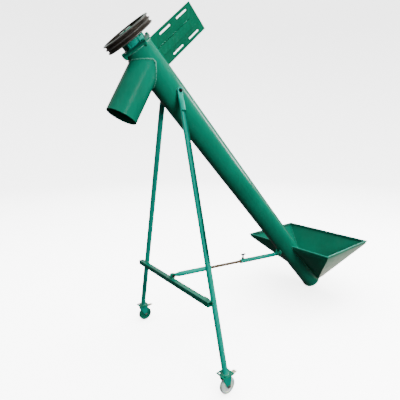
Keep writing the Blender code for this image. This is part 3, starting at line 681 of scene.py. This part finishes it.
def stand_welds():
    """Beads at the casters' plates, the cross bar, its gussets and the strut's lugs."""
    bar_low, bar_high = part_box("cross_bar")
    for name, side in SIDES:
        leg = points("leg_" + name)
        foot_z = min(p.z for p in leg)
        ring = [p for p in leg if p.z < foot_z + 0.0005]
        foot = sum(ring, Vector()) / len(ring)
        radius = max((p - foot).length for p in ring)
        round_foot = circle(foot + UP * 0.0010, UP, radius + 0.0010, 40)
        weld("weld_caster_" + name, round_foot, BEAD_FLANGE, "leg_frame", closed=True)
        share = (bar_high[2] - foot_z) / (LEG_PIVOT.z - foot_z)
        head_y = side * abs(centre("leg_" + name).y * 2 - foot.y)
        y = foot.y + (head_y - foot.y) * share
        for tag, shift in (("a", -BAR_BESIDE), ("b", BAR_BESIDE)):
            path = [Vector((bar_high[0] + 0.0020, y + shift, bar_low[2] + 0.002)),
                    Vector((bar_high[0] + 0.0020, y + shift, bar_high[2] - 0.001))]
            weld("weld_bar_%s_%s" % (name, tag), path, BEAD_FRAME, "leg_frame")
        gusset_low, gusset_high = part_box("bar_gusset_" + name)
        edge = gusset_low[0] - 0.0004 + 0.002
        path = [Vector((edge, gusset_low[1] + 0.004, bar_high[2])),
                Vector((edge, gusset_high[1] - 0.004, bar_high[2]))]
        weld("weld_gusset_" + name, path, BEAD_GUSSET, "leg_frame")
    for name in ("a", "b"):
        low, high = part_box("strut_lug_" + name)
        y = low[1] if name == "a" else high[1]
        path = [Vector((x, y, low[2])) for x in (low[0] + 0.002, high[0] - 0.002)]
        weld("weld_lug_" + name, path, BEAD_LUG, "leg_frame")


# ---- fasteners and small fittings ----------------------------------------
HUB_BOLT_ACROSS = 0.013
SET_SCREW_ACROSS = 0.008
SET_SCREW_OUT = 0.0365                             # distance of a set screw's face from the axis
NIPPLE_OUT = 0.061
PIVOT_WASHER_R = 0.0112
PIVOT_WASHER_OUT = 0.0090
THREAD_TURNS, THREAD_PITCH, THREAD_R = 9, 0.00175, 0.00045
WHEEL_RIBS = 8
RIB_FROM, RIB_TO, RIB_R = 0.012, 0.033, 0.0016


def disc(outer, thick):
    """The profile of a washer without its hole, its edges broken."""
    return [(0.0, 0.0), (outer - 0.0003, 0.0), (outer, 0.0004), (outer, thick - 0.0004),
            (outer - 0.0003, thick), (0.0, thick)]


def washer(name, middle, axis, outer, body, look=ZINC, thick=0.0016):
    return lathe(name, disc(outer, thick), middle, axis, body, look)


def bolt_head(name, middle, axis, across, height, body):
    """A hexagon head with a chamfered top, standing on a face."""
    corner = across / 2 / math.cos(math.pi / 6)
    profile = [(0.0, 0.0), (corner, 0.0), (corner, height * 0.80), (corner * 0.90, height),
               (0.0, height)]
    return lathe(name, profile, middle, axis, body, ZINC, steps=6)


def hub_fittings():
    """The shaft's end washer and bolt, the hub's set screws and the housing's grease nipple."""
    top = span("screw_shaft", ALONG)[1] - TUBE_LOW
    washer("hub_washer", on_tube(top), ALONG, 0.0135, "screw", LIT_GREEN,
           thick=0.0015)
    bolt_head("hub_bolt", on_tube(top + 0.0015), ALONG, HUB_BOLT_ACROSS, 0.005, "screw")
    web = span("drive_pulley", ALONG)[0] - TUBE_LOW + 0.033
    for k, spin in enumerate((35, 155)):
        a = math.radians(spin)
        direction = OUT * math.cos(a) + ACROSS * math.sin(a)
        seat = on_tube(web) + direction * SET_SCREW_OUT
        bolt_head("hub_set_screw_%d" % k, seat, direction, SET_SCREW_ACROSS, 0.006, "screw")
    neck_high = span("top_bearing_housing", ALONG)[1] - TUBE_LOW
    direction = (OUT * 0.35 - ACROSS).normalized()
    profile = [(0.0, -0.002), (0.0042, -0.002), (0.0042, 0.003), (0.0024, 0.004), (0.0024, 0.007),
               (0.0034, 0.009), (0.0018, 0.012), (0.0, 0.0122)]
    seat = on_tube(neck_high - 0.010) + direction * NIPPLE_OUT
    lathe("grease_nipple", profile, seat, direction, "root", GREEN, steps=16)


def pivot_washers():
    """A washer and a domed stud end on each leg's pivot bolt."""
    for name, side in SIDES:
        low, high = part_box("leg_pivot_bolt_" + name)
        outer = side * max(abs(low[1]), abs(high[1]))
        head = Vector((LEG_PIVOT.x, outer, LEG_PIVOT.z))
        axis = Vector((0, side, 0))
        seat = head - axis * PIVOT_WASHER_OUT
        washer("leg_pivot_washer_" + name, seat, axis, PIVOT_WASHER_R, "root", BLACK)
        dome = [(0.0, 0.0), (0.0068, 0.0), (0.0060, 0.0014), (0.0030, 0.0022), (0.0, 0.0024)]
        lathe("leg_pivot_stud_" + name, dome, head - axis * 0.0002, axis, "root", BLACK,
              steps=20)


def strut_fittings():
    """Raised thread rings on the clamp screw and knobs on the ends of its handle."""
    base = Vector(JOINTS["clamp_turn"]["pos_m"])
    handle_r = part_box("clamp_screw")[1][1]
    stud_high = span("clamp_screw", CLAMP_AXIS)[1] - base.dot(CLAMP_AXIS)
    thread = []
    start = stud_high - 2 * handle_r - 0.0011 - THREAD_TURNS * THREAD_PITCH
    side = CLAMP_AXIS.cross(ACROSS)
    for i in range(THREAD_TURNS * 16 + 1):
        a = 2 * math.pi * i / 16
        thread.append(base + CLAMP_AXIS * (start + THREAD_PITCH * i / 16)
                      + (side * math.cos(a) + ACROSS * math.sin(a)) * (handle_r - 0.0002))
    sweep("clamp_thread", thread, THREAD_R, "clamp", BLACK, step=0.0015, sides=5)
    reach_low, reach_high = span("clamp_screw", STRUT_DIR)
    bar = base + CLAMP_AXIS * (stud_high - handle_r)
    for tag, reach in (("a", reach_low), ("b", reach_high)):
        tip = bar + STRUT_DIR * (reach - base.dot(STRUT_DIR))
        outward = STRUT_DIR if tag == "b" else -STRUT_DIR
        knob = [(0.0, -0.004), (handle_r + 0.0008, -0.004), (handle_r + 0.0012, -0.001),
                (handle_r, 0.0016), (0.0, 0.0026)]
        lathe("handle_knob_" + tag, knob, tip, outward, "clamp", BLACK, steps=20)


def caster_fittings():
    """Wheel ribs, hub caps, the king pin's rivet head and each pedal's pin."""
    for name, side in SIDES:
        axle = Vector(JOINTS["roll_" + name]["pos_m"])
        swivel = Vector(JOINTS["swivel_" + name]["pos_m"])
        pedal = Vector(JOINTS["brake_" + name]["pos_m"])
        fork_low, fork_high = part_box("caster_fork_" + name)
        wheel_low, wheel_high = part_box("caster_wheel_" + name)
        half = (wheel_high[1] - wheel_low[1]) / 2
        look = NODE_LOOK.get("caster_wheel_" + name, WHEEL)
        for face in (-1, 1):
            for k in range(WHEEL_RIBS):
                a = 2 * math.pi / WHEEL_RIBS * k + 0.2
                spoke = Vector((math.cos(a), 0, math.sin(a)))
                path = [axle + spoke * r + ACROSS * (face * (half - 0.0052))
                        for r in (RIB_FROM, RIB_TO)]
                tag = "%s_%s_%d" % (name, "in" if face * side < 0 else "out", k)
                sweep("wheel_rib_" + tag, path, RIB_R, "wheel_" + name, look, step=0.006, sides=6)
        fork = "fork_" + name
        profile = [(0.0, 0.0), (0.009, 0.0), (0.011, 0.0015), (0.011, 0.003), (0.0, 0.004)]
        crown = Vector((swivel.x, swivel.y, fork_high[2] - 0.0040))
        lathe("king_pin_" + name, profile, crown, -UP, fork, ZINC, steps=24)
        seat = Vector((axle.x, fork_low[1], axle.z))
        washer("caster_axle_washer_" + name, seat, -ACROSS, 0.0090, fork, thick=0.0003)
        pin = Vector((pedal.x, swivel.y, pedal.z + 0.0008)) - UP * 0.0030
        reach = (fork_high[1] - fork_low[1]) / 2 + 0.0015
        rod = [(0.0, -reach), (0.0032, -reach), (0.0032, reach), (0.0, reach)]
        lathe("pedal_pin_" + name, rod, pin, ACROSS, fork, ZINC, steps=16)


tube_welds()
motor_plate_welds()
boss_welds()
bracket_welds()
hopper_tube_welds()
hopper_corners()
stand_welds()
hub_fittings()
pivot_washers()
strut_fittings()
caster_fittings()


# ---- floor, light and camera ---------------------------------------------
FLOOR_FLAT = 9.0
FLOOR_CURVE = 5.0
FLOOR_UNDER = 0.0005
WALL_TOP = 14.0
FLOOR_GLOW = 3.6
ROOM_COLOUR = (1.0, 0.99, 0.97, 1.0)
ROOM_BRIGHT_SIDE = (0.65, 0.76, 0.0)
ROOM_DIM, ROOM_BRIGHT, GROUND_BRIGHT = 0.26, 0.85, 0.07
CARD_COLOUR = (1.0, 0.94, 0.80)
EYE = (-1.7027, -1.6766, 1.3999)
EYE_TILT, EYE_TURN = math.radians(79.15), math.radians(-40.86)
FOCAL_LENGTH, SENSOR = 28.48, 36.0
SHIFT_X, SHIFT_Y = -0.0663, 0.0034


def pale_floor():
    """A round studio floor that sweeps up into a pale wall far outside the object."""
    s = Shader("pale_floor")
    cloud = s.noise(1.2, 3.0)
    floor_look = s.finish(s.mix(cloud, (0.83, 0.83, 0.83), (0.86, 0.86, 0.86)), 0.85,
                          Emission_Color=(1.0, 1.0, 1.0, 1.0), Emission_Strength=FLOOR_GLOW)
    profile = [(0.01, 0.0), (FLOOR_FLAT, 0.0)]
    for i in range(1, 13):
        a = math.pi / 2 * i / 12
        profile.append((FLOOR_FLAT + FLOOR_CURVE * math.sin(a), FLOOR_CURVE * (1 - math.cos(a))))
    profile.append((FLOOR_FLAT + FLOOR_CURVE, WALL_TOP))
    steps = 96
    angles = [2 * math.pi * k / steps for k in range(steps)]
    bm = bmesh.new()
    rings = []
    for radius, height in profile:
        ring = [(radius * math.cos(a), radius * math.sin(a), height) for a in angles]
        rings.append([bm.verts.new(point) for point in ring])
    bm.faces.new(rings[0])
    for low, high in zip(rings, rings[1:]):
        for k in range(steps):
            j = (k + 1) % steps
            bm.faces.new((low[k], high[k], high[j], low[j]))
    mesh = mesh_from(bm, "floor")
    floor = bpy.data.objects.new("floor", mesh)
    floor.location = (0, 0, -FLOOR_UNDER)
    floor.visible_glossy = False
    floor.visible_diffuse = False
    bpy.context.scene.collection.objects.link(floor)
    mesh.materials.append(floor_look)
    return floor


def softbox(name, place, target, size, power, mirrored=True):
    """An area light; one that isn't mirrored leaves no reflection in the paint."""
    data = bpy.data.lights.new(name, "AREA")
    data.shape = "RECTANGLE"
    data.size, data.size_y = size
    data.energy = power
    lamp = bpy.data.objects.new(name, data)
    lamp.location = place
    lamp.rotation_euler = (Vector(target) - Vector(place)).to_track_quat("-Z", "Y").to_euler()
    lamp.visible_glossy = mirrored
    bpy.context.scene.collection.objects.link(lamp)
    return lamp


def ramp(tree, value, from_low, from_high, to_low, to_high):
    """A smooth step from one number to another."""
    node = tree.nodes.new("ShaderNodeMapRange")
    node.interpolation_type = "SMOOTHSTEP"
    set_inputs(node, {"From Min": from_low, "From Max": from_high, "To Min": to_low,
                      "To Max": to_high})
    tree.links.new(value, node.inputs["Value"])
    return node.outputs["Result"]


def toward(tree, direction, aim):
    """How far a ray points toward an aim, from -1 to 1."""
    node = tree.nodes.new("ShaderNodeVectorMath")
    node.operation = "DOT_PRODUCT"
    node.inputs[1].default_value = Vector(aim).normalized()
    tree.links.new(direction, node.inputs[0])
    return node.outputs["Value"]


def joined(tree, operation, a, b):
    node = tree.nodes.new("ShaderNodeMath")
    node.operation = operation
    tree.links.new(a, node.inputs[0])
    tree.links.new(b, node.inputs[1])
    return node.outputs["Value"]


def pale_room():
    """A pale surround, brightest behind the object, over a dim ground."""
    world = bpy.data.worlds.new("studio")
    bpy.context.scene.world = world
    world.use_nodes = True
    tree = world.node_tree
    ray = tree.nodes.new("ShaderNodeTexCoord").outputs["Generated"]
    walls = ramp(tree, toward(tree, ray, ROOM_BRIGHT_SIDE), 0.1, 0.85, ROOM_DIM, ROOM_BRIGHT)
    above = ramp(tree, toward(tree, ray, UP), -0.10, 0.06, 0.0, 1.0)
    below = ramp(tree, toward(tree, ray, -UP), -0.06, 0.10, 0.0, GROUND_BRIGHT)
    upper = joined(tree, "MULTIPLY", walls, above)
    back = tree.nodes["Background"]
    back.inputs["Color"].default_value = ROOM_COLOUR
    tree.links.new(joined(tree, "ADD", upper, below), back.inputs["Strength"])


def studio(floor):
    """Soft lights that show only on the object, two that it mirrors, and one for the floor."""
    pale_room()
    wash = softbox("floor_wash", (0.0, 0.0, 6.5), (0, 0, 0), (14.0, 14.0), 5000, mirrored=False)
    only_floor = bpy.data.collections.new("only_floor")
    only_floor.objects.link(floor)
    wash.light_linking.receiver_collection = only_floor
    softbox("overhead", (0.6, -0.4, 5.5), (0, 0, 0), (5.0, 5.0), 250, mirrored=False)
    softbox("key", (-0.7, -3.6, 2.6), (-0.4, 0, 1.3), (1.4, 1.4), 205, mirrored=False)
    softbox("left_fill", (-3.8, -1.4, 4.0), (-0.3, 0, 1.3), (1.8, 1.8), 30, mirrored=False)
    softbox("kicker", (2.8, -0.6, 4.4), (0.1, 0, 1.0), (0.9, 0.9), 130, mirrored=False)
    softbox("hopper_side", (3.5, -1.0, 2.7), (-0.2, 0, 1.2), (0.8, 2.2), 105)
    card = softbox("floor_card", (1.95, -0.25, 0.02), (1.95, -0.25, 1.0), (2.0, 1.1), 15)
    card.data.color = CARD_COLOUR
    card.visible_camera = False
    card.visible_diffuse = False


def camera():
    data = bpy.data.cameras.new("camera")
    data.sensor_width = SENSOR
    data.lens = FOCAL_LENGTH
    data.shift_x = SHIFT_X
    data.shift_y = SHIFT_Y
    eye = bpy.data.objects.new("camera", data)
    eye.location = EYE
    eye.rotation_euler = (EYE_TILT, 0.0, EYE_TURN)
    bpy.context.scene.collection.objects.link(eye)
    bpy.context.scene.camera = eye


studio(pale_floor())
camera()
